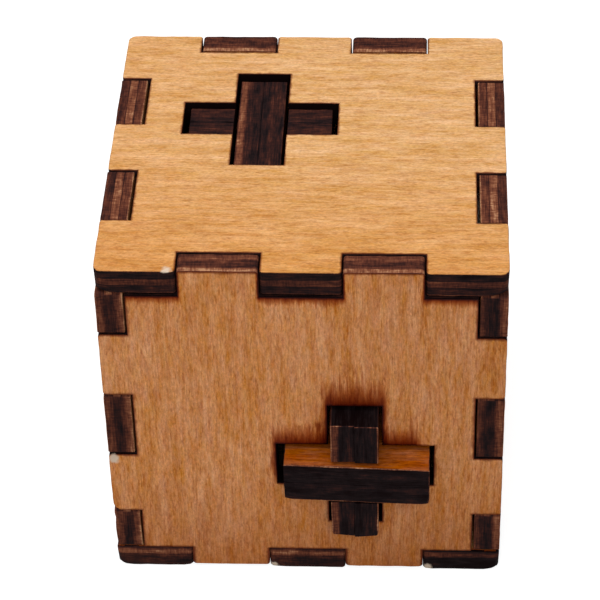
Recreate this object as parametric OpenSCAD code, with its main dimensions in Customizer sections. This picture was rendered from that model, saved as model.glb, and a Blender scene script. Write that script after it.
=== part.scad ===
// Wooden puzzle box: six laser-cut plywood panels finger-jointed into a cube, with three
// sliding crosses of doubled plywood that lock each other inside it. Millimetres.
// The origin is the centre of the bottom face, +X is right, +Y is back and +Z is up.

/* [Box] */
// Outside size of the cube
box_size = 52; // [46:1:80]
// Thickness of the panel plywood
panel_t = 3.5; // [2.5:0.1:4.5]
// Number of equal divisions of every panel edge
edge_divisions = 5; // [5, 7]
// Gap between the side of a finger and the side of its notch
finger_gap = 0.16; // [0.06:0.02:0.5]
// The same gap for the lower fingers of the front and back panels, which are glued in tightly
foot_finger_gap = 0.04; // [0.02:0.02:0.5]
// Gap behind the fingers that fill a notch of the top or bottom panel
cap_notch_gap = 0.4; // [0.1:0.05:0.8]
// Gap behind the fingers that fill an upright notch of the front or back panel
face_notch_gap = 0.28; // [0.1:0.02:0.8]
// Gap between the front and back panels' upper shoulders and the top panel
top_shoulder_gap = 0.5; // [0.1:0.1:1]
// Gap between the front and back panels' lower shoulders and the bottom panel
foot_shoulder_gap = 0.1; // [0.05:0.05:1]
// How far the lower fingers of the front and back panels stop above the cube's base
foot_gap = 0.45; // [0:0.05:0.8]
// How far the side panels' corner fingers stop short of the top and bottom panels
corner_finger_gap = 0.2; // [0.1:0.05:0.6]
// Radius at the tip corners of the fingers
tip_r = 0.5; // [0.2:0.1:1]

/* [Crosses] */
// Thickness of one plywood layer of a cross; each plate is two layers glued together
layer_t = 3.1; // [2.6:0.1:3.6]
// Width of each cross plate
plate_w = 19.1; // [17:0.05:22]
// Extra width of the front cross's standing plate, the key, over the other plates
key_extra_w = 0.8; // [0:0.05:1.2]
// How much shorter than the cube a cross is
end_recess = 0.7; // [0.4:0.1:3]
// Smallest gap between plates of two crosses that pass side by side
pass_gap = 0.15; // [0.1:0.05:0.6]
// How far a cross slides before the next one stops it
travel = 6.6; // [5:0.1:8]
// How far the front cross stands out of the front panel at rest
front_reach = 3.5; // [1:0.1:5]
// How far to the right of the front cross's axis its flat plate is glued
flat_shift = 0.25; // [0:0.05:0.35]
// Angle by which the front end of the front cross's flat plate is off square
end_skew = 2.4; // [0:0.2:3]
// How far the left layer of the front cross's standing plate ends behind the flat plate
standing_set_back = 0.5; // [0:0.1:1]
// How far the right layer of that plate stands in front of the left one
layer_step = 0.2; // [0:0.1:0.5]
// Radius at the corners of the plates' ends
plate_r = 0.2; // [0.1:0.1:0.8]

/* [Fits] */
// Extra width of a panel's cross hole over the thickness of a plate
hole_play_t = 0.9; // [0.5:0.1:1.6]
// Extra length of a panel's cross hole over the width of the widest plate
hole_play_w = 0.8; // [0.5:0.1:1.6]
// Gap left under a lying cross, which drops in its holes
rest_gap = 0.05; // [0.02:0.01:0.1]
// Gap on each side of a plate inside the lap slot of the plate that it crosses
lap_gap = 0.55; // [0.2:0.05:1]
// Gap at each end of a locking notch at the ends of the travel
notch_gap = 0.45; // [0.2:0.05:0.8]
// Gap between the bottom of a locking notch and the plate that runs in it
notch_floor_gap = 0.3; // [0.1:0.05:0.6]
// Wood left between a locking notch and the end of the lap slot
neck = 2.2; // [1.5:0.1:4]

/* [Hidden] */

$fn = 32;                                    // arcs
cut = 1;                                     // how far a cutter runs past the face it opens

// Colours of the varnished panels and of the charred crosses
panel_colour = "#d9a066";
cross_colour = "#5a3520";

// Box
half = box_size / 2;
division = box_size / edge_divisions;
inner = box_size - 2 * panel_t;              // clear space between two facing panels
cap_core = half - panel_t - cap_notch_gap;   // from the middle of a cap panel to its notches
face_core = half - panel_t - face_notch_gap; // from the middle of a face panel to its upright notches

// Crosses
plate_t = 2 * layer_t;
cross_len = box_size - end_recess;
half_len = cross_len / 2;
key_w = plate_w + key_extra_w;
axis_offset = (key_w / 2 + plate_t / 2 + pass_gap) / 2;    // each cross's axis from the cube's centre lines
overlap = plate_w - 2 * axis_offset;         // how far the plates of two crosses reach into each other
notch_in = overlap + notch_floor_gap;
key_notch_in = notch_in + key_extra_w / 2;   // the same for the key and for the notch that lets it out
lap_w = plate_t + 2 * lap_gap;
hole_drop = min(hole_play_t, hole_play_w) / 2 - rest_gap;  // how low the two lying crosses sit in their holes
front_shift = front_reach + end_recess / 2;  // front cross at rest, forward of its middle place
front_z = half - axis_offset - hole_drop;    // height of the front cross's axis
side_z = half + axis_offset - hole_drop;     // height of the side cross's axis

// Locking notches, as [start, end] along the plate that has them
upright_notch = [front_z - plate_t / 2 - travel - notch_gap, front_z + plate_t / 2 + notch_gap];
front_notch = [-axis_offset - plate_t / 2 - notch_gap, -axis_offset + plate_t / 2 + travel + notch_gap];
side_notch = [-axis_offset - plate_t / 2 - notch_gap, -axis_offset + plate_t / 2 + travel + notch_gap];
release_notch = [axis_offset - plate_t / 2 - notch_gap + travel, axis_offset + plate_t / 2 + notch_gap + travel];

// Where the two lap slots of each cross meet
upright_meet = upright_notch[1] + neck;
front_meet = front_notch[0] - neck;
side_meet = side_notch[1] + neck;

// ---- Panels: drawn flat, centred on the face, then stood in place ----

// A finger with two round tip corners, from its root on the X axis up to +Y.
module finger(left, right, length) {
    root = 2 * tip_r;                        // how far the finger runs down into the panel
    translate([left, -root]) square([right - left, length + root - tip_r]);
    translate([left + tip_r, 0]) square([right - left - 2 * tip_r, length]);
    for (x = [left + tip_r, right - tip_r]) translate([x, length - tip_r]) circle(r = tip_r);
}

// The fingers of one edge at every second division, counted from `first`; the end divisions
// stop at `reach` from the middle of the edge.
module edge_fingers(first, length, reach, gap = finger_gap) {
    for (i = [first : 2 : edge_divisions - 1]) {
        start = -half + i * division;
        left = i == 0 ? -reach : start + gap - finger_gap / 2;
        right = i == edge_divisions - 1 ? reach : start + division - gap + finger_gap / 2;
        finger(left, right, length);
    }
}

// A panel outline: a core out to core_x on both sides and from core_y[0] up to core_y[1], with
// fingers on its level edges and its upright edges; the lower ones stop `foot` short and have
// a gap of their own.
module panel_outline(core_x, core_y, level_first, upright_first, upright_reach, foot = 0, gap = finger_gap) {
    translate([-core_x, core_y[0]]) square([2 * core_x, core_y[1] - core_y[0]]);
    translate([0, core_y[1]]) edge_fingers(level_first, half - core_y[1], half);
    rotate(180) translate([0, -core_y[0]]) edge_fingers(level_first, half + core_y[0] - foot, half, gap);
    for (turn = [90, 270]) rotate(turn)
        translate([0, core_x]) edge_fingers(upright_first, half - core_x, upright_reach);
}

// The plus-shaped hole that a cross slides in.
module cross_hole() {
    long = key_w + hole_play_w;
    wide = plate_t + hole_play_t;
    square([long, wide], center = true);
    square([wide, long], center = true);
}

// Top or bottom panel: it has the cube's corners and is notched on all four edges.
module cap_panel() {
    linear_extrude(panel_t) difference() {
        panel_outline(cap_core, [-cap_core, cap_core], 0, 0, half);
        translate([-axis_offset, axis_offset]) cross_hole();
    }
}

// Front or back panel: fingers in the cap panels and in the side panels.
module face_panel(hole_x) {
    shoulders = [foot_shoulder_gap - inner / 2, inner / 2 - top_shoulder_gap];
    linear_extrude(panel_t) difference() {
        panel_outline(face_core, shoulders, 1, 1, half, foot_gap, foot_finger_gap);
        translate([hole_x, -axis_offset]) cross_hole();
    }
}

// Left or right panel: its shoulders carry the cap panels and back the front and back panels.
module side_panel(hole_y) {
    linear_extrude(panel_t) difference() {
        panel_outline(inner / 2, [-inner / 2, inner / 2], 1, 0, inner / 2 - corner_finger_gap);
        translate([hole_y, axis_offset]) cross_hole();
    }
}

module top_panel() {
    color(panel_colour) translate([0, 0, box_size - panel_t]) cap_panel();
}

module bottom_panel() {
    color(panel_colour) cap_panel();
}

module front_panel() {
    color(panel_colour) translate([0, -half + panel_t, half]) rotate([90, 0, 0]) face_panel(axis_offset);
}

module back_panel() {
    color(panel_colour) translate([0, half, half]) rotate([90, 0, 0]) face_panel(axis_offset);
}

module left_panel() {
    color(panel_colour) translate([-half, 0, half]) rotate([90, 0, 90]) side_panel(-axis_offset);
}

module right_panel() {
    color(panel_colour) translate([half - panel_t, 0, half]) rotate([90, 0, 90]) side_panel(-axis_offset);
}

// ---- Crosses: each plate is drawn along X, centred, and its two layers lie on each other ----

// A plate outline with round end corners, `wide` across, which starts `set_back` late.
module plate_outline(wide = plate_w, set_back = 0) {
    start = set_back - half_len;
    length = half_len - start;
    translate([start + plate_r, -wide / 2]) square([length - 2 * plate_r, wide]);
    translate([start, plate_r - wide / 2]) square([length, wide - 2 * plate_r]);
    for (x = [start + plate_r, half_len - plate_r], y = [-1, 1])
        translate([x, y * (wide / 2 - plate_r)]) circle(r = plate_r);
}

// The same with its start cut askew: the mean length stays, and the -Y corner reaches further out.
module skewed_outline() {
    difference() {
        plate_outline(plate_w, -plate_w / 2 * tan(end_skew));
        translate([-half_len, 0]) rotate(-end_skew) translate([-cut - plate_r, -plate_w])
            square([cut + plate_r, 2 * plate_w]);
    }
}

// The lap slot: open at the `side` end (-1 or 1), and closed at `meet`.
module lap_slot(meet, side) {
    length = half_len - side * meet + cut;
    translate([side > 0 ? meet : meet - length, -lap_w / 2]) square([length, lap_w]);
}

// A locking notch in the `side` edge (-1 or 1) of a plate, from span[0] to span[1].
module lock_notch(span, side, depth = notch_in, wide = plate_w) {
    bottom = wide / 2 - depth;
    opened = depth + cut;
    translate([span[0], side > 0 ? bottom : -bottom - opened]) square([span[1] - span[0], opened]);
}

// One layer of a plate: `level` 0 is the lower one and 1 the upper one.
module layer(level) {
    translate([0, 0, (level - 1) * layer_t]) linear_extrude(layer_t) children();
}

// The upright cross stands on the bottom face's level. Its plates are turned on end here.
module upright_place() {
    translate([-axis_offset, axis_offset, half_len]) children();
}

// Deep plate: spans Y, with its lap slot open downwards.
module upright_deep(level) {
    color(cross_colour) upright_place() rotate([90, -90, 90]) layer(level) difference() {
        plate_outline();
        lap_slot(upright_meet - half_len, -1);
    }
}

// Wide plate: spans X, with its lap slot open upwards and a notch for the front cross.
module upright_wide(level) {
    span = [upright_notch[0] - half_len, upright_notch[1] - half_len];
    color(cross_colour) upright_place() rotate([90, -90, 0]) layer(level) difference() {
        plate_outline();
        lap_slot(upright_meet - half_len, 1);
        lock_notch(span, -1);
    }
}

module upright_cross_deep_plate_left_layer() { upright_deep(0); }
module upright_cross_deep_plate_right_layer() { upright_deep(1); }
module upright_cross_wide_plate_front_layer() { upright_wide(1); }
module upright_cross_wide_plate_back_layer() { upright_wide(0); }

// The front cross at rest stands out of the front panel.
module front_place() {
    translate([axis_offset, -front_shift, front_z]) children();
}

// Flat plate: whole at the front, where it is cut askew, with its lap slot open to the back, a
// little off its middle.
module front_flat(level) {
    color(cross_colour) front_place() rotate([0, 0, 90]) layer(level) difference() {
        translate([0, -flat_shift]) skewed_outline();
        lap_slot(front_meet, 1);
    }
}

// Standing plate, the key: its lap slot is open to the front, and the side cross runs in its notch.
module front_standing(level) {
    color(cross_colour) front_place() rotate([90, 0, 90]) layer(level) difference() {
        plate_outline(key_w, standing_set_back - level * layer_step);
        lap_slot(front_meet, -1);
        lock_notch(front_notch, 1, key_notch_in, key_w);
    }
}

module front_cross_flat_plate_lower_layer() { front_flat(0); }
module front_cross_flat_plate_upper_layer() { front_flat(1); }
module front_cross_standing_plate_left_layer() { front_standing(0); }
module front_cross_standing_plate_right_layer() { front_standing(1); }

// The side cross lies from the left panel to the right panel.
module side_place() {
    translate([0, -axis_offset, side_z]) children();
}

// Flat plate: its lap slot is open to the right, and the upright cross runs in its notch.
module side_flat(level) {
    color(cross_colour) side_place() layer(level) difference() {
        plate_outline();
        lap_slot(side_meet, 1);
        lock_notch(side_notch, 1);
    }
}

// Standing plate: its lap slot is open to the left, and its notch lets the front cross out
// once the side cross has slid to the left.
module side_standing(level) {
    color(cross_colour) side_place() rotate([90, 0, 0]) layer(level) difference() {
        plate_outline();
        lap_slot(side_meet, -1);
        lock_notch(release_notch, -1, key_notch_in);
    }
}

module side_cross_flat_plate_lower_layer() { side_flat(0); }
module side_cross_flat_plate_upper_layer() { side_flat(1); }
module side_cross_standing_plate_front_layer() { side_standing(1); }
module side_cross_standing_plate_back_layer() { side_standing(0); }

top_panel();
bottom_panel();
front_panel();
back_panel();
left_panel();
right_panel();
upright_cross_deep_plate_left_layer();
upright_cross_deep_plate_right_layer();
upright_cross_wide_plate_front_layer();
upright_cross_wide_plate_back_layer();
front_cross_flat_plate_lower_layer();
front_cross_flat_plate_upper_layer();
front_cross_standing_plate_left_layer();
front_cross_standing_plate_right_layer();
side_cross_flat_plate_lower_layer();
side_cross_flat_plate_upper_layer();
side_cross_standing_plate_front_layer();
side_cross_standing_plate_back_layer();
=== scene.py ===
import math

import bmesh
import bpy
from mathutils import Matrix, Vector


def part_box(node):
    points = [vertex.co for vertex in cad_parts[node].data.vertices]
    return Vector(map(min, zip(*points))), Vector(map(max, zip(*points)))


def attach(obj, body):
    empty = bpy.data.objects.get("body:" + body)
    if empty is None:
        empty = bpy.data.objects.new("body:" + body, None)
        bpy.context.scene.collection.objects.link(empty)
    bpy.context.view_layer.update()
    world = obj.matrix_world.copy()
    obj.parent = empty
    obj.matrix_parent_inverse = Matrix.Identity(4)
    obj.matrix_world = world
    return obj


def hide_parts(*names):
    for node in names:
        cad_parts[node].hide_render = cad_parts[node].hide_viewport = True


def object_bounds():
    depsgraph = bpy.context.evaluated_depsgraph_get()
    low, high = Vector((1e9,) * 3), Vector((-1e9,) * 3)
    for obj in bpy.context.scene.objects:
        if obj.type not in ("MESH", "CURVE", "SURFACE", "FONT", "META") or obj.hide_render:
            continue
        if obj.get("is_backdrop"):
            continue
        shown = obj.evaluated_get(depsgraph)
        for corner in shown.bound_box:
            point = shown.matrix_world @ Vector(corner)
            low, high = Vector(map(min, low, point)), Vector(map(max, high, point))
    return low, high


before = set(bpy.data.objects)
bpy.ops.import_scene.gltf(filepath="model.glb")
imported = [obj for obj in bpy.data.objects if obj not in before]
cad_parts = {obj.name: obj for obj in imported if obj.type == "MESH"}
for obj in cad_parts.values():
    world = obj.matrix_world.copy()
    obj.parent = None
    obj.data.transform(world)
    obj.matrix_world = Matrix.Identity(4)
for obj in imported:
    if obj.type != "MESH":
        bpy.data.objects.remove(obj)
cad_low, cad_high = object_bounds()
bpy.context.scene.view_settings.view_transform = "Standard"

# ---- Camera ----
# A long lens, looking down on the top and front faces. It stands a little to the right of the
# box's middle, and leans by about a degree.

camera_place = (0.014568, -0.278855, 0.258337)
camera_tilt = 50.2291
camera_lean = 1.1852
camera_pan = 2.3359
camera_data = bpy.data.cameras.new("camera")
camera_data.sensor_width = 36.0
camera_data.lens = 157.84
camera_data.clip_start = 0.01
camera_data.clip_end = 10.0
camera = bpy.data.objects.new("camera", camera_data)
bpy.context.scene.collection.objects.link(camera)
camera.location = camera_place
camera.rotation_euler = [math.radians(angle) for angle in (camera_tilt, camera_lean, camera_pan)]
bpy.context.scene.camera = camera

# ---- Studio ----
# A white floor that keeps a faint shadow, and two large soft lamps, above and in front.


def put(tree, kind, *feeds, **settings):
    """Adds a node, sets it and feeds its sockets in order; None leaves a socket alone."""
    node = tree.nodes.new("ShaderNode" + kind)
    for name, value in settings.items():
        setattr(node, name, value)
    for socket, feed in zip(node.inputs, feeds):
        if isinstance(feed, bpy.types.NodeSocket):
            tree.links.new(feed, socket)
        elif feed is not None:
            socket.default_value = feed
    return node


def maths(tree, operation, *feeds):
    """A Math node's result."""
    return put(tree, "Math", *feeds, operation=operation).outputs[0]


floor_colour = (0.42, 0.42, 0.42, 1.0)
floor_glow = 0.84
bpy.ops.mesh.primitive_plane_add(size=6.0, location=(0, 0, 0))
floor = bpy.context.object
floor.name = "floor"
floor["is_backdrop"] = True
floor_paint = bpy.data.materials.new("white_floor")
floor_paint.use_nodes = True
tree = floor_paint.node_tree
tree.nodes.clear()
sight = put(tree, "LightPath")
seen = maths(tree, "MAXIMUM", sight.outputs["Is Camera Ray"], sight.outputs["Is Glossy Ray"])
glow = put(tree, "Emission", (1, 1, 1, 1), maths(tree, "MULTIPLY", seen, floor_glow))
matt = put(tree, "BsdfDiffuse", floor_colour)
both = put(tree, "AddShader", glow.outputs[0], matt.outputs[0])
put(tree, "OutputMaterial", both.outputs[0])
floor.data.materials.append(floor_paint)

world = bpy.data.worlds.new("studio")
bpy.context.scene.world = world
world.use_nodes = True
tree = world.node_tree
tree.nodes.clear()
world_light = 0.26
sight = put(tree, "LightPath")
white_sky = maths(tree, "MULTIPLY", sight.outputs["Is Camera Ray"], 1 - world_light)
sky = put(tree, "Background", (1, 1, 1, 1), maths(tree, "ADD", white_sky, world_light))
put(tree, "OutputWorld", sky.outputs[0])


def softbox(name, place, size, power):
    """A square area lamp at a place, aimed at the box."""
    lamp_data = bpy.data.lights.new(name, "AREA")
    lamp_data.size = size
    lamp_data.energy = power
    lamp = bpy.data.objects.new(name, lamp_data)
    bpy.context.scene.collection.objects.link(lamp)
    lamp.location = place
    box_middle = Vector((0, 0, cad_high[2] / 2))
    to_box = box_middle - Vector(place)
    lamp.rotation_euler = to_box.to_track_quat("-Z", "Y").to_euler()


softbox("key_softbox", place=(-0.2, 0.0, 0.8), size=0.45, power=3.9)
softbox("front_softbox", place=(0.1, -0.7, 0.6), size=0.5, power=3.2)

# ---- Bottom panel ----
# Three-ply birch, laser-cut and varnished. It has the cube's lower corners; the front, back and
# side panels' fingers are glued into its notches.

sheet_low, sheet_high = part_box("bottom_panel")
half = sheet_high[0]
panel_t = sheet_high[2] - sheet_low[2]
edge_divisions = 5
division = 2 * half / edge_divisions
side_play = 0.00008  # half of the gap beside a finger
cap_notch_gap = 0.0004  # between a notch's end and the finger in it
cap_core = half - panel_t - cap_notch_gap
hole_offset = 0.0066
slot_long = 0.0207
slot_wide = 0.0071
on_face = 0.0002  # a point this near to a face lies on it


def deselect():
    """Leaves nothing selected or active."""
    if bpy.context.object and bpy.context.object.mode != "OBJECT":
        bpy.ops.object.mode_set(mode="OBJECT")
    bpy.ops.object.select_all(action="DESELECT")


def copy_of(node, name):
    """A new object with a clean, merged copy of a CAD node's mesh, in edit mode and all selected."""
    deselect()
    piece = bpy.data.objects.new(name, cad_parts[node].data.copy())
    bpy.context.scene.collection.objects.link(piece)
    piece.data.materials.clear()
    bpy.context.view_layer.objects.active = piece
    piece.select_set(True)
    bpy.ops.object.mode_set(mode="EDIT")
    bpy.ops.mesh.select_all(action="SELECT")
    bpy.ops.mesh.remove_doubles(threshold=1e-6)
    bpy.ops.mesh.customdata_custom_splitnormals_clear()
    bpy.ops.mesh.dissolve_limited(angle_limit=math.radians(0.5))
    return piece


def select_rims(piece, axis, squareness=0.9):
    """Selects the edges where a sheet's faces meet its cut walls; axis is the sheet's normal."""
    mesh = bmesh.from_edit_mesh(piece.data)
    bpy.ops.mesh.select_all(action="DESELECT")
    for edge in mesh.edges:
        flat = [abs(face.normal[axis]) > squareness for face in edge.link_faces]
        edge.select_set(len(flat) == 2 and flat[0] != flat[1])
    bmesh.update_edit_mesh(piece.data)


def rule_across(axis, low, high, step):
    """Cuts the mesh in hand by parallel planes, so that its long straight edges can ripple."""
    normal = [0.0, 0.0, 0.0]
    normal[axis] = 1.0
    count = int((high - low) / step)
    for i in range(1, count):
        place = [0.0, 0.0, 0.0]
        place[axis] = low + (high - low) * i / count
        bpy.ops.mesh.select_all(action="SELECT")
        bpy.ops.mesh.bisect(plane_co=place, plane_no=normal)


def knock(piece, place, push, reach):
    """Pushes the mesh in hand in around a place, as a knock or years of handling wear a corner."""
    mesh = bmesh.from_edit_mesh(piece.data)
    bpy.ops.mesh.select_all(action="DESELECT")
    nearest = min(mesh.verts, key=lambda vertex: (vertex.co - Vector(place)).length)
    nearest.select_set(True)
    mesh.select_flush_mode()
    bmesh.update_edit_mesh(piece.data)
    bpy.ops.transform.translate(
        value=push, use_proportional_edit=True, proportional_edit_falloff="SHARP", proportional_size=reach
    )


ripple_step = 0.001
ripple_depth = 0.00012
wall_squareness = 0.95
worn_rim = 0.00012
ripple_texture = bpy.data.textures.new("laser_ripple", "CLOUDS")
ripple_texture.noise_scale = 0.0016
ripple_texture.noise_depth = 1


def laser_cut(node, name, axis, knocks=(), rim=worn_rim):
    """A sheet's visible piece: worn rims, and walls that ripple as a laser leaves them. Each knock
    is a place, the push and how far it reaches."""
    piece = copy_of(node, name)
    select_rims(piece, axis)
    bpy.ops.mesh.bevel(offset=rim, segments=3, profile=0.6, affect="EDGES")
    low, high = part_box(node)
    for other in range(3):
        if other != axis:
            rule_across(other, low[other], high[other], ripple_step)
    for place, push, reach in knocks:
        knock(piece, place, push, reach)
    bpy.ops.object.mode_set(mode="OBJECT")
    walls = piece.vertex_groups.new(name="cut_walls")
    on_wall = [v.index for v in piece.data.vertices if abs(v.normal[axis]) <= wall_squareness]
    walls.add(on_wall, 1.0, "REPLACE")
    ripple = piece.modifiers.new("laser_ripple", "DISPLACE")
    ripple.texture = ripple_texture
    ripple.texture_coords = "LOCAL"
    ripple.vertex_group = "cut_walls"
    ripple.strength = ripple_depth
    ripple.mid_level = 0.4
    bpy.ops.object.modifier_apply(modifier="laser_ripple")
    bpy.ops.object.shade_smooth_by_angle(angle=math.radians(35))
    return piece


def new_group(name, inputs, outputs):
    """An empty node group with its input and output nodes; sockets are names and kinds."""
    group = bpy.data.node_groups.new(name, "ShaderNodeTree")
    for way, sockets in (("INPUT", inputs), ("OUTPUT", outputs)):
        for socket, kind in sockets.items():
            group.interface.new_socket(socket, in_out=way, socket_type="NodeSocket" + kind)
    return group, group.nodes.new("NodeGroupInput"), group.nodes.new("NodeGroupOutput")


def use_group(tree, group, **feeds):
    """Places a node group in a tree; a feed's name has _ where the socket's has a space."""
    node = tree.nodes.new("ShaderNodeGroup")
    node.node_tree = group
    for name, feed in feeds.items():
        socket = node.inputs[name.replace("_", " ")]
        if isinstance(feed, bpy.types.NodeSocket):
            tree.links.new(feed, socket)
        else:
            socket.default_value = feed
    return node


def blend(tree, share, first, second, way="MIX"):
    """A colour mix of two colours."""
    node = tree.nodes.new("ShaderNodeMix")
    node.data_type = "RGBA"
    node.blend_type = way
    for socket, feed in zip((node.inputs[0], node.inputs[6], node.inputs[7]), (share, first, second)):
        if isinstance(feed, bpy.types.NodeSocket):
            tree.links.new(feed, socket)
        else:
            socket.default_value = feed
    return node.outputs[2]


def cells(tree, place, fineness, detail=2.0, roughness=0.5):
    """Noise whose cells are 1/fineness metres long on each axis."""
    wide = put(tree, "VectorMath", place, fineness, operation="MULTIPLY").outputs[0]
    noise = put(tree, "TexNoise", wide)
    noise.inputs["Scale"].default_value = 1.0
    noise.inputs["Detail"].default_value = detail
    noise.inputs["Roughness"].default_value = roughness
    return noise.outputs["Fac"]


def spread(tree, value, low, high, to_low=0.0, to_high=1.0):
    """Maps a value from one span to another, held at the ends."""
    node = put(tree, "MapRange", value, low, high, to_low, to_high)
    node.clamp = True
    return node.outputs[0]


# Birch veneer: fine fibres along X, soft streaks, pores, short flecks as strong as Mottle asks,
# light and dark specks, broad patches and small mottles of richer colour, and a drift from gold
# to rose
birch, given, result = new_group(
    "birch_veneer",
    {"Place": "Vector", "Pale": "Color", "Amber": "Color", "Deep": "Color", "Mottle": "Float"},
    {"Color": "Color", "Height": "Float"},
)
place = given.outputs["Place"]
sway = spread(birch, cells(birch, place, (60, 130, 130), detail=1.0), 0.3, 0.7, -0.0002, 0.0002)
flow = put(birch, "VectorMath", place, put(birch, "CombineXYZ", 0.0, sway).outputs[0], operation="ADD")
flow = flow.outputs[0]
fibres = cells(birch, flow, (280, 5400, 5400), detail=4.0, roughness=0.75)
streaks = cells(birch, flow, (150, 1200, 1200), detail=4.0, roughness=0.65)
pores = cells(birch, flow, (700, 4600, 4600), detail=1.0)
flecks = cells(birch, place, (800, 2700, 2700), detail=4.0, roughness=0.75)
specks = cells(birch, place, (2400, 4400, 4400), detail=2.0, roughness=0.7)
patches = cells(birch, flow, (90, 560, 560), detail=4.0, roughness=0.62)
mottles = cells(birch, place, (430, 1500, 1500), detail=3.0, roughness=0.6)
drift = cells(birch, place, (300, 1000, 1000), detail=3.0, roughness=0.6)
tone = blend(birch, spread(birch, fibres, 0.37, 0.63), given.outputs["Pale"], given.outputs["Amber"])
tone = blend(birch, spread(birch, streaks, 0.48, 0.7, 0.0, 0.35), tone, given.outputs["Deep"])
tone = blend(birch, spread(birch, pores, 0.6, 0.7, 0.0, 0.45), tone, given.outputs["Deep"])
dark_flecks = maths(birch, "MULTIPLY", spread(birch, flecks, 0.5, 0.72), given.outputs["Mottle"])
tone = blend(birch, dark_flecks, tone, given.outputs["Deep"])
pale_flecks = maths(birch, "MULTIPLY", spread(birch, flecks, 0.48, 0.3), given.outputs["Mottle"])
tone = blend(birch, pale_flecks, tone, given.outputs["Pale"])
hue = spread(birch, drift, 0.3, 0.7, 0.4965, 0.5035)
richness = spread(birch, patches, 0.35, 0.65, 1.06, 0.94)
richness = maths(birch, "MULTIPLY", richness, spread(birch, mottles, 0.32, 0.68, 1.04, 0.955))
lightness = spread(birch, specks, 0.3, 0.7, 0.85, 1.15)
lightness = maths(birch, "MULTIPLY", lightness, spread(birch, patches, 0.35, 0.65, 0.92, 1.09))
tone = put(birch, "HueSaturation", hue, richness, lightness, 1.0, tone).outputs[0]
birch.links.new(tone, result.inputs["Color"])
birch.links.new(maths(birch, "SUBTRACT", fibres, pores), result.inputs["Height"])

# How far a point is from a rectangle in the plane of the sheet
from_cut, given, result = new_group(
    "distance_from_cut",
    {"Place": "Vector", "Middle": "Vector", "Half Size": "Vector"},
    {"Distance": "Float"},
)
away = put(from_cut, "VectorMath", given.outputs["Place"], given.outputs["Middle"], operation="SUBTRACT")
away = put(from_cut, "VectorMath", away.outputs[0], operation="ABSOLUTE")
away = put(from_cut, "VectorMath", away.outputs[0], given.outputs["Half Size"], operation="SUBTRACT")
away = put(from_cut, "VectorMath", away.outputs[0], (0, 0, 0), operation="MAXIMUM")
away = put(from_cut, "VectorMath", away.outputs[0], operation="LENGTH")
from_cut.links.new(away.outputs["Value"], result.inputs["Distance"])

# Burnt wall of a sheet: `Level` runs from black char (0) to bare tan (1), and streaks, stains and
# the beam's ticks break it up
burnt, given, result = new_group(
    "burnt_wall", {"Place": "Vector", "Level": "Float"}, {"Color": "Color", "Height": "Float"}
)
place = given.outputs["Place"]
streaks = cells(burnt, place, (300, 300, 5600), detail=4.0, roughness=0.7)
stains = cells(burnt, place, (330, 330, 900), detail=4.0, roughness=0.6)
ticks = cells(burnt, place, (4200, 4200, 1100), detail=2.0)
level = maths(burnt, "ADD", given.outputs["Level"], spread(burnt, streaks, 0.25, 0.75, -0.2, 0.2))
level = maths(burnt, "ADD", level, spread(burnt, stains, 0.25, 0.75, -0.17, 0.17))
tick_depth = maths(burnt, "MULTIPLY", spread(burnt, ticks, 0.3, 0.7, -0.5, 0.5), given.outputs["Level"])
level = maths(burnt, "MULTIPLY_ADD", tick_depth, 0.3, level)
ramp = put(burnt, "ValToRGB", level)
char_steps = [
    (0.0, (0.0056, 0.0022, 0.0024)),
    (0.2, (0.0135, 0.0085, 0.0093)),
    (0.4, (0.0450, 0.0155, 0.0125)),
    (0.6, (0.1240, 0.0370, 0.0215)),
    (0.8, (0.2500, 0.0880, 0.0440)),
    (1.0, (0.5300, 0.2750, 0.1450)),
]
ramp.color_ramp.elements[1].position = char_steps[-1][0]
for position, _ in char_steps[1:-1]:
    ramp.color_ramp.elements.new(position)
for element, (_, colour) in zip(ramp.color_ramp.elements, char_steps):
    element.color = (*colour, 1.0)
burnt.links.new(ramp.outputs[0], result.inputs["Color"])
burnt.links.new(maths(burnt, "ADD", streaks, maths(burnt, "MULTIPLY", ticks, 0.4)), result.inputs["Height"])


def turned(tree, source, order):
    """A vector's parts in another order, so that X runs along the grain and Z through the sheet."""
    parts = put(tree, "SeparateXYZ", source)
    return put(tree, "CombineXYZ", *[parts.outputs["xyz".index(letter)] for letter in order]).outputs[0]


def new_finish(name, roughness, specular):
    """A material with a Principled shader whose plain values are set on it."""
    finish = bpy.data.materials.new(name)
    finish.use_nodes = True
    shader = finish.node_tree.nodes["Principled BSDF"]
    shader.inputs["Roughness"].default_value = roughness
    shader.inputs["Specular IOR Level"].default_value = specular
    return finish, finish.node_tree, shader


grain_depth = 0.00002
char_depth = 0.00006


def relief(tree, shader, height, depth):
    """Feeds a height to the shader's normal, softly."""
    node = put(tree, "Bump")
    node.inputs["Strength"].default_value = 0.6
    node.inputs["Distance"].default_value = depth
    tree.links.new(height, node.inputs["Height"])
    tree.links.new(node.outputs[0], shader.inputs["Normal"])


def from_nearest(tree, place, cuts):
    """Distance from the nearest of a list of cuts, each a rectangle's low and high corners."""
    nearest = None
    for low, high in cuts:
        middle = [(a + b) / 2 for a, b in zip(low, high)] + [0]
        size = [(b - a) / 2 for a, b in zip(low, high)] + [1]
        found = use_group(tree, from_cut, Place=place, Middle=middle, Half_Size=size).outputs[0]
        nearest = found if nearest is None else maths(tree, "MINIMUM", nearest, found)
    return nearest


bare_wood = (0.76, 0.61, 0.47, 1)


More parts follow.
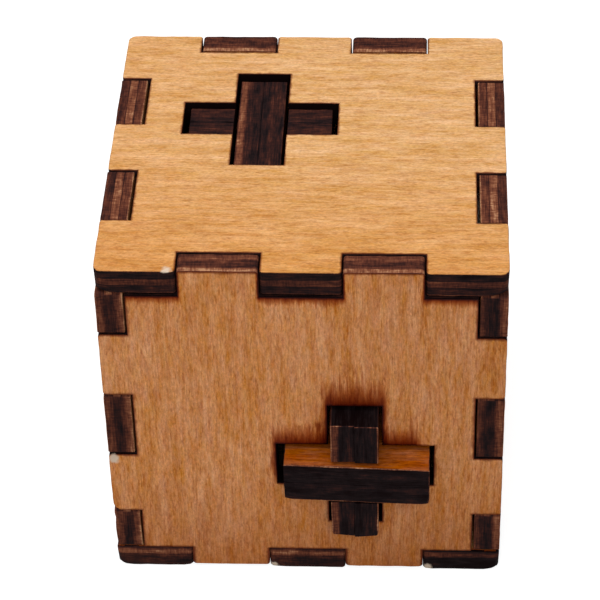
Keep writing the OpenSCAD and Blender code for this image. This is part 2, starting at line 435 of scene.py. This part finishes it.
def chipped(tree, colour, chips):
    """Bare pale wood where a splinter has broken away. Each chip is a place and a size."""
    place = put(tree, "TexCoord").outputs["Object"]
    ragged = cells(tree, place, (1200, 1200, 1200), detail=2.0)
    for middle, size in chips:
        away = put(tree, "VectorMath", place, middle, operation="SUBTRACT").outputs[0]
        away = put(tree, "VectorMath", away, size, operation="DIVIDE").outputs[0]
        away = put(tree, "VectorMath", away, operation="LENGTH").outputs["Value"]
        away = maths(tree, "ADD", away, spread(tree, ragged, 0.3, 0.7, -0.25, 0.25))
        colour = blend(tree, spread(tree, away, 0.6, 1.1, 0.9, 0.0), colour, bare_wood)
    return colour


smoke_and_shade_depths = (1.0, 1.8, 2.5)  # how fast smoke and painted shade darken red, green and blue
singe_tint = (0.20, 0.06, 0.03, 1)


def veneer_finish(name, order, cuts, holes, smoke, stains, tones, mottle, singe, chips=()):
    """A panel's varnished face: veneer, stains that deepen along it, smoke that has risen from some
    cuts and painted shade laid on with it, a singed line as wide as `singe` beside each cut and
    hole, browned rims and pale chips. The cuts lie on both sides of the middle line that runs along
    the grain. Smoke comes as its sources, how far it rises and how much less it spreads, and a stain
    as the axis that it runs along, where it starts, where it is full and its tint."""
    finish, tree, shader = new_finish(name, roughness=0.5, specular=0.06)
    place = turned(tree, put(tree, "TexCoord").outputs["Object"], order)
    pale, amber, deep = tones
    wood = use_group(tree, birch, Place=place, Pale=pale, Amber=amber, Deep=deep, Mottle=mottle)
    colour = wood.outputs["Color"]
    flat = put(tree, "VectorMath", place, (1, 1, 0), operation="MULTIPLY").outputs[0]
    parts = put(tree, "SeparateXYZ", flat)
    for part, start, stop, tint in stains:
        colour = blend(tree, spread(tree, parts.outputs[part], start, stop), colour, tint, "MULTIPLY")
    wisps = cells(tree, place, (240, 2100, 2100), detail=4.0, roughness=0.65)
    # Each smoke darkens the face near its sources, redder than it is dark: partly laser smoke and partly
    # painted shade beside parts that stand out from, overhang or cover the face.
    for sources, reach, shrink in smoke:
        squeezed = put(tree, "VectorMath", flat, (1, shrink, 0), operation="MULTIPLY").outputs[0]
        near = [[(along, across * shrink) for along, across in source] for source in sources]
        rise = from_nearest(tree, squeezed, near)
        rise = maths(tree, "MULTIPLY", rise, spread(tree, wisps, 0.3, 0.7, 1.7, 0.6))
        clear = spread(tree, rise, 0.0, reach, 0.1, 1.0)
        stain = put(tree, "CombineColor", *[maths(tree, "POWER", clear, depth) for depth in smoke_and_shade_depths])
        colour = blend(tree, 1.0, colour, stain.outputs[0], "MULTIPLY")
    one_side = put(tree, "CombineXYZ", parts.outputs[0], maths(tree, "ABSOLUTE", parts.outputs[1]))
    edge = from_nearest(tree, one_side.outputs[0], cuts)
    edge = maths(tree, "MINIMUM", edge, from_nearest(tree, flat, holes))
    ragged = cells(tree, place, (900, 900, 900), detail=3.0)
    width = spread(tree, ragged, 0.3, 0.7, 0.5 * singe, 1.5 * singe)
    edge_share = spread(tree, maths(tree, "DIVIDE", edge, width), 0.2, 1.0, 0.9, 0.0)
    colour = blend(tree, edge_share, colour, singe_tint, "MULTIPLY")
    facing = put(tree, "SeparateXYZ", turned(tree, put(tree, "TexCoord").outputs["Normal"], order))
    squareness = maths(tree, "ABSOLUTE", facing.outputs[2])
    rim_share = spread(tree, squareness, 0.98, 0.6, 0.0, 0.6)
    colour = blend(tree, rim_share, colour, singe_tint, "MULTIPLY")
    tree.links.new(chipped(tree, colour, chips), shader.inputs["Base Color"])
    relief(tree, shader, wood.outputs["Height"], grain_depth)
    return finish


def ply_levels(tree, depth, stops):
    """The level of each ply through a sheet, from (depth, level) stops."""
    ramp = put(tree, "ValToRGB", depth)
    elements = ramp.color_ramp.elements
    elements[0].position = stops[0][0]
    elements[1].position = stops[-1][0]
    for position, _ in stops[1:-1]:
        elements.new(position)
    for element, (_, level) in zip(elements, stops):
        element.color = (level, level, level, 1.0)
    return ramp.outputs[0]


def burnt_finish(
    name, order, middle, outer, thickness, end_stops, edge_stops, holes=(), worn=0.0, chips=(), drift=None
):
    """A sheet's burnt walls. `end_stops` are for walls that face along the grain and `edge_stops`
    for those that face across it. Depth is 0 at the face `outer` away from the middle, on both
    sides of it, or on the high side only where middle is None. A hole's walls are darkened to black
    as painted shade, corners are lighter, partly as wear and partly as a painted highlight, and the
    level can drift along the grain, from a start to a stop, by one change on the ends and another on
    the edges."""
    finish, tree, shader = new_finish(name, roughness=0.65, specular=0.02)
    coordinates = put(tree, "TexCoord")
    place = turned(tree, coordinates.outputs["Object"], order)
    through = put(tree, "SeparateXYZ", place).outputs[2]
    if middle is not None:
        through = maths(tree, "ABSOLUTE", maths(tree, "SUBTRACT", through, middle))
    depth = maths(tree, "DIVIDE", maths(tree, "SUBTRACT", outer, through), thickness)
    wobble = cells(tree, place, (300, 300, 300), detail=3.0)
    depth = maths(tree, "ADD", depth, spread(tree, wobble, 0.2, 0.8, -0.015, 0.015))
    facing = put(tree, "SeparateXYZ", turned(tree, coordinates.outputs["Normal"], order))
    along = maths(tree, "ABSOLUTE", facing.outputs[0])
    share = spread(tree, along, 0.45, 0.75)
    ends, edges = (ply_levels(tree, depth, stops) for stops in (end_stops, edge_stops))
    level = put(tree, "Mix", share, None, edges, ends).outputs[0]
    # Painted shade: the walls of a cross hole, and any within half a millimetre of it, are darkened, as the
    # hole's depths lie in shadow.
    if holes:
        flat = put(tree, "VectorMath", place, (1, 1, 0), operation="MULTIPLY").outputs[0]
        painted_hole_shade = spread(tree, from_nearest(tree, flat, holes), 0.0003, 0.0005, -0.45, 0.0)
        level = maths(tree, "ADD", level, painted_hole_shade)
    # Corners where an end meets an edge are lightened by `worn`: partly handling wear, partly a painted
    # highlight where the rounded corner would catch the light.
    if worn:
        corner = maths(tree, "MULTIPLY", spread(tree, along, 0.3, 0.6), spread(tree, along, 0.98, 0.8))
        tilt = maths(tree, "ABSOLUTE", facing.outputs[2])
        corner = maths(tree, "MULTIPLY", corner, spread(tree, tilt, 0.3, 0.1))
        scuffs_and_glints = cells(tree, place, (1300, 1300, 1300), detail=2.0)
        corner = maths(tree, "MULTIPLY", corner, spread(tree, scuffs_and_glints, 0.4, 0.6, 0.2 * worn, worn))
        level = maths(tree, "ADD", level, corner)
    if drift:
        start, stop, end_change, edge_change = drift
        run = put(tree, "SeparateXYZ", place).outputs[0]
        change = put(tree, "Mix", share, None, edge_change, end_change).outputs[0]
        level = maths(tree, "MULTIPLY_ADD", spread(tree, run, start, stop), change, level)
    walls = use_group(tree, burnt, Place=place, Level=level)
    tree.links.new(chipped(tree, walls.outputs["Color"], chips), shader.inputs["Base Color"])
    relief(tree, shader, walls.outputs["Height"], char_depth)
    return finish


veneered_rims = 0.6  # how squarely a face has to point out to be veneered, where rims are too
burnt_rims = 0.995  # the same where rims are burnt


def coat(piece, axis, open_faces, face_finish, edge_finish, squareness=veneered_rims):
    """Puts the veneer on a sheet's open faces, at these places on the axis, and on the rims on the
    cube's outside that face out as squarely as this, and the burnt finish on all the rest."""
    piece.data.materials.append(face_finish)
    piece.data.materials.append(edge_finish)
    cube_middle = (0, 0, half)
    for polygon in piece.data.polygons:
        out = min(abs(polygon.center[axis] - place) for place in open_faces)
        outside = abs(polygon.center[axis] - cube_middle[axis]) > half - on_face
        limit = squareness if outside else burnt_rims
        open_face = abs(polygon.normal[axis]) > limit and out < on_face
        polygon.material_index = 0 if open_face else 1


glue_depth = 0.335
glue_blend = 0.035
glue_darkness = 0.7


def three_plies(outer, core, inner, outer_rim, inner_rim, rim_depth=0.07):
    """Stops for a three-ply sheet, with a dark glue line on each side of the core."""
    glue = min(outer, core, inner) * glue_darkness
    stops = [(0.0, outer_rim), (rim_depth, outer), (glue_depth - glue_blend, outer)]
    stops += [(glue_depth, glue), (glue_depth + glue_blend, core), (1 - glue_depth - glue_blend, core)]
    stops += [(1 - glue_depth, glue), (1 - glue_depth + glue_blend, inner), (1 - rim_depth, inner)]
    return stops + [(1.0, inner_rim)]


def cross_slots(along, across):
    """The two slots of a cross hole whose middle is at (along, across)."""
    sizes = ((slot_long / 2, slot_wide / 2), (slot_wide / 2, slot_long / 2))
    return [((along - a, across - b), (along + a, across + b)) for a, b in sizes]


beyond = 3 * half
open_half = division / 2 + side_play
far_finger = 1.5 * division - side_play

# The caps' notches: those on one side of the middle line stand for both sides
cap_cuts = []
for way in (-1, 1):
    at = way * division
    cap_cuts.append(((at - open_half, cap_core), (at + open_half, beyond)))
    ends = sorted((way * cap_core, way * beyond))
    cap_cuts.append(((ends[0], division - open_half), (ends[1], division + open_half)))

amber_tones = [(0.84, 0.49, 0.226, 1), (0.705, 0.362, 0.127, 1), (0.42, 0.148, 0.028, 1)]
hole_corners = cross_slots(-hole_offset, hole_offset)


def cap_panel(node, finishes, wear, reach, knocks, rim=worn_rim, squareness=veneered_rims):
    """A top or bottom panel. Its lower corners are worn round by some wear, as far as it reaches."""
    low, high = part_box(node)
    worn = list(knocks)
    for x in (low[0], high[0]):
        for y in (low[1], high[1]):
            push = (-math.copysign(wear, x), -math.copysign(wear, y), 2 * wear)
            worn.append(((x, y, low[2]), push, reach))
    piece = laser_cut(node, node + "_sheet", 2, worn, rim)
    coat(piece, 2, (low[2], high[2]), *finishes, squareness)
    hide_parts(node)
    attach(piece, "box")


# All that lies beyond the panel's four sides
outline = [
    ((-beyond, half), (beyond, beyond)),
    ((half, -beyond), (beyond, beyond)),
    ((-beyond, -beyond), (-half, beyond)),
    ((-beyond, -beyond), (beyond, -half)),
]
# The base's face darkens near its outline, with a wide singed line and smoke: partly char from the laser,
# partly painted shade in the narrow gaps where it shows under the standing panels.
base_face = veneer_finish(
    "base_veneer", "xyz", cap_cuts, hole_corners, smoke=[(outline, 0.0015, 1)], stains=[],
    tones=amber_tones, mottle=0.5, singe=0.0008,
)
base_plies = [
    (0.0, 0.42), (0.1, 0.32), (0.5, 0.34), (0.62, 0.4), (0.7, 0.66), (0.8, 0.76), (0.9, 0.62),
    (1.0, 0.3),
]
base_chips = [
    ((-0.0047, -half, 0.0004), (0.0007, 0.0006, 0.0005)),
    ((0.0164, -half, 0.0005), (0.0007, 0.0006, 0.0006)),
]
base_wall = burnt_finish(
    "base_walls", "xyz", middle=half, outer=half, thickness=panel_t, end_stops=base_plies,
    edge_stops=base_plies, holes=hole_corners, chips=base_chips, drift=(0.010, 0.024, -0.35, -0.35),
)
foot_lifts = ((-1.5 * division, 0.00025), (-division / 2, 0.00008), (1.5 * division, 0.00005))
foot_push = 0.0001
foot_reach = 0.0014
foot_knocks = [((x, -half, 0), (0, foot_push, lift), foot_reach) for x, lift in foot_lifts]
cap_panel(
    "bottom_panel", (base_face, base_wall), wear=0.00022, reach=0.0017, knocks=foot_knocks,
    rim=0.00035, squareness=burnt_rims,
)

# ---- Left and right panels ----
# Three-ply birch as well, with the grain upright. They stand on the bottom panel, with fingers up
# and down into the caps and forwards and backwards into the front and back panels.

inner_half = half - panel_t


def standing_cuts(level_ends, side_core, open_spans):
    """Cuts of a panel with upright grain: above its high end, between its level edges' fingers,
    and the open spans of its upright edges."""
    low, high = level_ends
    cuts = [((2 * half, -beyond), (beyond, beyond))]
    for start, stop in ((-beyond, low), (high, beyond)):
        cuts.append(((start, -open_half), (stop, open_half)))
        cuts.append(((start, far_finger), (stop, beyond)))
    cuts += [((half + start, side_core), (half + stop, beyond)) for start, stop in open_spans]
    return cuts


notched_spans = [(at * division - open_half, at * division + open_half) for at in (-1, 1)]
side_cuts = standing_cuts((panel_t, 2 * half - panel_t), inner_half, notched_spans)
tawny_tones = [(0.82, 0.37, 0.145, 1), (0.63, 0.235, 0.072, 1), (0.36, 0.085, 0.014, 1)]
side_hole = cross_slots(half + hole_offset, -hole_offset)
foot_stain = (0, 0.018, 0.001, (0.72, 0.60, 0.48, 1))
side_face = veneer_finish(
    "side_veneer", "zyx", side_cuts, side_hole, smoke=[], stains=[foot_stain], tones=tawny_tones,
    mottle=0.55, singe=0.0002,
)
dent_height = 0.0088
side_knocks = {
    "left_panel": [
        ((-half, -half, dent_height), (0.0002, 0, 0), 0.003),
        ((-half, -half, panel_t), (0.0003, 0, 0), 0.006),
    ]
}
side_plies = {
    "left_panel": [
        (0.0, 0.6), (0.14, 0.62), (0.3, 0.5), (0.38, 0.36), (0.6, 0.3), (0.7, 0.46), (0.86, 0.66),
        (0.94, 0.7), (1.0, 0.9),
    ],
    "right_panel": [
        (0.0, 0.6), (0.14, 0.66), (0.3, 0.5), (0.38, 0.3), (0.62, 0.24), (0.72, 0.34), (0.88, 0.48),
        (1.0, 0.55),
    ],
}
side_ends = three_plies(outer=0.46, core=0.72, inner=0.57, outer_rim=0.5, inner_rim=0.95)
for node, plies in side_plies.items():
    low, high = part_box(node)
    side_wall = burnt_finish(
        node + "_walls", "zyx", middle=0, outer=half, thickness=panel_t, end_stops=side_ends,
        edge_stops=plies, holes=side_hole,
    )
    piece = laser_cut(node, node + "_sheet", 0, side_knocks.get(node, ()))
    coat(piece, 0, (low[0], high[0]), side_face, side_wall)
    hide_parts(node)
    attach(piece, "box")

# ---- Front and back panels ----
# Cut like the side panels and glued between the caps, with the grain upright. Smoke from the
# laser has browned the wood above the cross hole, and painted shade is laid on with it there, above
# the key's arms, and under the top panel's fingers.

face_notch_gap = 0.00028
face_core = inner_half - face_notch_gap
foot_shoulder_gap = 0.0001
top_shoulder_gap = 0.0005
shoulders = (panel_t + foot_shoulder_gap, 2 * half - panel_t - top_shoulder_gap)
fingered_spans = [(-open_half, open_half), (-beyond, -far_finger), (far_finger, beyond)]
face_cuts = standing_cuts(shoulders, face_core, fingered_spans)
hole_at = (half - hole_offset, hole_offset)
face_hole = cross_slots(*hole_at)
# Sources of the darkening above the key's flat and standing arms: partly laser smoke, partly painted shade
# where the arms that stand out of the slots block the light.
flat_smoke_and_shade, standing_smoke_and_shade = [((hole_at[0], low[1]), high) for low, high in reversed(face_hole)]
smoke_and_shade_end = 0.0025  # the flat slot's smoke and painted shade end this far short of its right end
flat_smoke_and_shade = (flat_smoke_and_shade[0], (flat_smoke_and_shade[1][0], flat_smoke_and_shade[1][1] - smoke_and_shade_end))
# The darkening under the top panel's fingers: partly laser smoke, partly a painted shadow of their
# overhanging edge.
shoulder_spans = ((-beyond, -far_finger), (-open_half, open_half), (far_finger, beyond))
shoulder_shadow_and_smoke = [((shoulders[1], start), (beyond, stop)) for start, stop in shoulder_spans]
right_stain = (1, -0.005, half, (0.88, 0.86, 0.84, 1))
face_chips = [((-0.0253, -half, 0.0199), (0.0007, 0.0006, 0.0008))]
front_face = veneer_finish(
    "front_veneer", "zxy", face_cuts, face_hole,
    smoke=[([flat_smoke_and_shade], 0.0044, 4), ([standing_smoke_and_shade], 0.0059, 5), (shoulder_shadow_and_smoke, 0.0015, 3)],
    stains=[foot_stain, right_stain], tones=tawny_tones, mottle=0.55, singe=0.0004, chips=face_chips,
)
finger_plies = [
    (0.0, 0.45), (0.03, 0.5), (0.06, 0.86), (0.2, 0.8), (0.28, 0.5), (0.36, 0.45), (0.6, 0.48),
    (0.66, 0.54), (0.75, 0.68), (0.85, 0.6), (0.95, 0.52), (1.0, 0.75),
]
back_plies = [
    (0.0, 0.4), (0.1, 0.46), (0.3, 0.5), (0.36, 0.42), (0.64, 0.44), (0.7, 0.52), (0.78, 0.6),
    (0.84, 0.78), (1.0, 0.85),
]
worn_corner = (-half, -half, half - far_finger)
face_knocks = {"front_panel": [(worn_corner, (0.0005, 0, 0.0002), 0.0015)]}
face_edges = three_plies(outer=0.52, core=0.36, inner=0.5, outer_rim=0.52, inner_rim=0.5, rim_depth=0.1)
for node, plies in (("front_panel", finger_plies), ("back_panel", back_plies)):
    low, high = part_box(node)
    front_wall = burnt_finish(
        node + "_walls", "zxy", middle=0, outer=half, thickness=panel_t, end_stops=plies,
        edge_stops=face_edges, holes=face_hole, chips=face_chips, drift=(0.0515, 0.0505, -0.6, 0.0),
    )
    piece = laser_cut(node, node + "_sheet", 1, face_knocks.get(node, ()))
    coat(piece, 1, (low[1], high[1]), front_face, front_wall)
    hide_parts(node)
    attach(piece, "box")

# ---- Upright cross ----
# Two lapped plates, each glued from two layers of birch plywood, burnt dark where they were cut.
# Its top end lies just under the top panel's face.


def plate_veneer(name, order, tones):
    """The smoke-browned, varnished veneer of a plate."""
    finish, tree, shader = new_finish(name, roughness=0.45, specular=0.06)
    place = turned(tree, put(tree, "TexCoord").outputs["Object"], order)
    pale, amber, deep = tones
    wood = use_group(tree, birch, Place=place, Pale=pale, Amber=amber, Deep=deep, Mottle=0.5)
    tree.links.new(wood.outputs["Color"], shader.inputs["Base Color"])
    relief(tree, shader, wood.outputs["Height"], grain_depth)
    return finish


browned_tones = [(0.45, 0.115, 0.014, 1), (0.31, 0.064, 0.006, 1), (0.10, 0.016, 0.002, 1)]
smoked_tones = [(0.120, 0.034, 0.012, 1), (0.070, 0.018, 0.007, 1), (0.030, 0.009, 0.005, 1)]
plate_rim_depth = 0.014
ply_blend = 0.03
glue_level = 0.12
# A plate's rims are lighter than its plies: partly scuffs, partly a painted highlight along its edges.
scuffed_glinting_rim = 0.8
edge_rim = 0.35
plain_rim = 0.3  # a plate's corners are lightened, as wear and painted highlight, by as much as its rims are lighter than this


def six_plies(levels, rim):
    """Stops for two glued three-ply layers, from the high face down, with rims lighter as scuffs and
    painted highlight, and a dark line where the layers meet."""
    stops = [(0.0, rim), (plate_rim_depth, rim), (1 - plate_rim_depth, rim), (1.0, rim)]
    stops.append((0.5, glue_level))
    for i, level in enumerate(reversed(levels)):
        stops += [(i / 6 + ply_blend, level), ((i + 1) / 6 - ply_blend, level)]
    return sorted(stops)


def plate(
    cross, plate_name, layers, axis, orders, end_plies, edge_plies, rim=scuffed_glinting_rim, tones=smoked_tones,
    knocks=None,
):
    """Both layers of a cross's plate, with the levels of its six plies from the low side up and of
    its ends' rims. `orders` are those of its veneer and of its burnt walls, and the knocks are a
    dictionary of lists, by node."""
    face_order, wall_order = orders
    nodes = [f"{cross}_{plate_name}_plate_{layer}_layer" for layer in layers]
    high_face = max(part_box(node)[1][axis] for node in nodes)
    low_face = min(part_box(node)[0][axis] for node in nodes)
    walls = burnt_finish(
        f"{cross}_{plate_name}_walls", wall_order, middle=None, outer=high_face,
        thickness=high_face - low_face, end_stops=six_plies(end_plies, rim),
        edge_stops=six_plies(edge_plies, edge_rim), worn=rim - plain_rim,
    )
    faces = plate_veneer(f"{cross}_{plate_name}_veneer", face_order, tones)
    for node in nodes:
        piece = laser_cut(node, node + "_sheet", axis, (knocks or {}).get(node, ()))
        coat(piece, axis, (low_face, high_face), faces, walls, burnt_rims)
        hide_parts(node)
        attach(piece, cross)


dark_edges = (0.3, 0.25, 0.25, 0.25, 0.25, 0.3)
sheltered_rim = 0.42
plate(
    "upright_cross", "deep", ("left", "right"), axis=0, orders=("zyx", "zyx"),
    end_plies=(0.66, 0.36, 0.28, 0.26, 0.36, 0.30), edge_plies=dark_edges, rim=sheltered_rim,
)
plate(
    "upright_cross", "wide", ("front", "back"), axis=1, orders=("zxy", "zxy"),
    end_plies=(0.34, 0.38, 0.29, 0.25, 0.38, 0.34), edge_plies=dark_edges, rim=sheltered_rim,
)

# ---- Side cross ----
# Made as the upright cross is. It lies from the left panel to the right one, with its ends just
# inside their faces, and locks the front cross.

dark_ends = (0.3, 0.34, 0.24, 0.2, 0.34, 0.3)
plate(
    "side_cross", "flat", ("lower", "upper"), axis=2, orders=("xyz", "xyz"),
    end_plies=dark_ends, edge_plies=dark_edges,
)
plate(
    "side_cross", "standing", ("front", "back"), axis=1, orders=("xzy", "xzy"),
    end_plies=dark_ends, edge_plies=dark_edges,
)

# ---- Front cross ----
# The key of the puzzle, made as the other crosses are, with a front end that is cut a little
# askew. It stands out of the front panel, where a finger can pull it.

corner_in = 0.0001
corner_up = 0.0002
corner_reach = 0.0012
flat_low, flat_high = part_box("front_cross_flat_plate_lower_layer")
flat_corners = [
    ((x, flat_low[1], flat_low[2]), (-math.copysign(corner_in, x), corner_in, corner_up), corner_reach)
    for x in (flat_low[0], flat_high[0])
]
plate(
    "front_cross", "flat", ("lower", "upper"), axis=2, orders=("xyz", "yxz"),
    end_plies=(0.16, 0.1, 0.2, 0.13, 0.18, 0.1), edge_plies=dark_edges, tones=browned_tones,
    knocks={"front_cross_flat_plate_lower_layer": flat_corners},
)
standing_knocks = {}
for layer, way in (("left", 1), ("right", -1)):
    node = f"front_cross_standing_plate_{layer}_layer"
    low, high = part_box(node)
    corner = (low[0] if way > 0 else high[0], low[1], low[2])
    standing_knocks[node] = [(corner, (2 * corner_in * way, corner_in, corner_up), corner_reach)]
plate(
    "front_cross", "standing", ("left", "right"), axis=0, orders=("zyx", "yzx"),
    end_plies=(0.56, 0.16, 0.24, 0.12, 0.18, 0.24), edge_plies=(0.08, 0.0, 0.06, 0.0, 0.06, 0.1),
    knocks=standing_knocks,
)

# ---- Top panel ----
# Glued on last, and cut from the same birch as the bottom panel. Its face is the palest, and a
# splinter has broken from its front edge.

# The top panel's lower rim is lighter (inner_rim): a painted highlight along its lower edges.
cap_plies = three_plies(outer=0.24, core=0.47, inner=0.29, outer_rim=0.5, inner_rim=0.66)
front_warmth = (1, 0.0, -half, (0.91, 0.76, 0.55, 1))
left_warmth = (0, 0.0, -half, (0.98, 0.94, 0.90, 1))
top_chips = [((-0.0167, -half, 2 * half), (0.0008, 0.0011, 0.00025))]
top_face = veneer_finish(
    "top_veneer", "xyz", cap_cuts, hole_corners, smoke=[], stains=[front_warmth, left_warmth],
    tones=amber_tones, mottle=0.6, singe=0.0003, chips=top_chips,
)
top_wall = burnt_finish(
    "top_walls", "xyz", middle=half, outer=half, thickness=panel_t, end_stops=cap_plies,
    edge_stops=cap_plies, holes=hole_corners, chips=top_chips,
)
splinter = (-0.0162, -half, 2 * half)
top_knocks = [(splinter, (0, 0.0001, -0.00015), 0.0009)]
blunting = 0.00025
for x in (-half, half):
    for y in (-half, half):
        push = (-math.copysign(blunting, x), -math.copysign(blunting, y), 0)
        top_knocks.append(((x, y, 2 * half), push, corner_reach))
cap_panel("top_panel", (top_face, top_wall), wear=0.0003, reach=0.0024, knocks=top_knocks)

low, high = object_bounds()
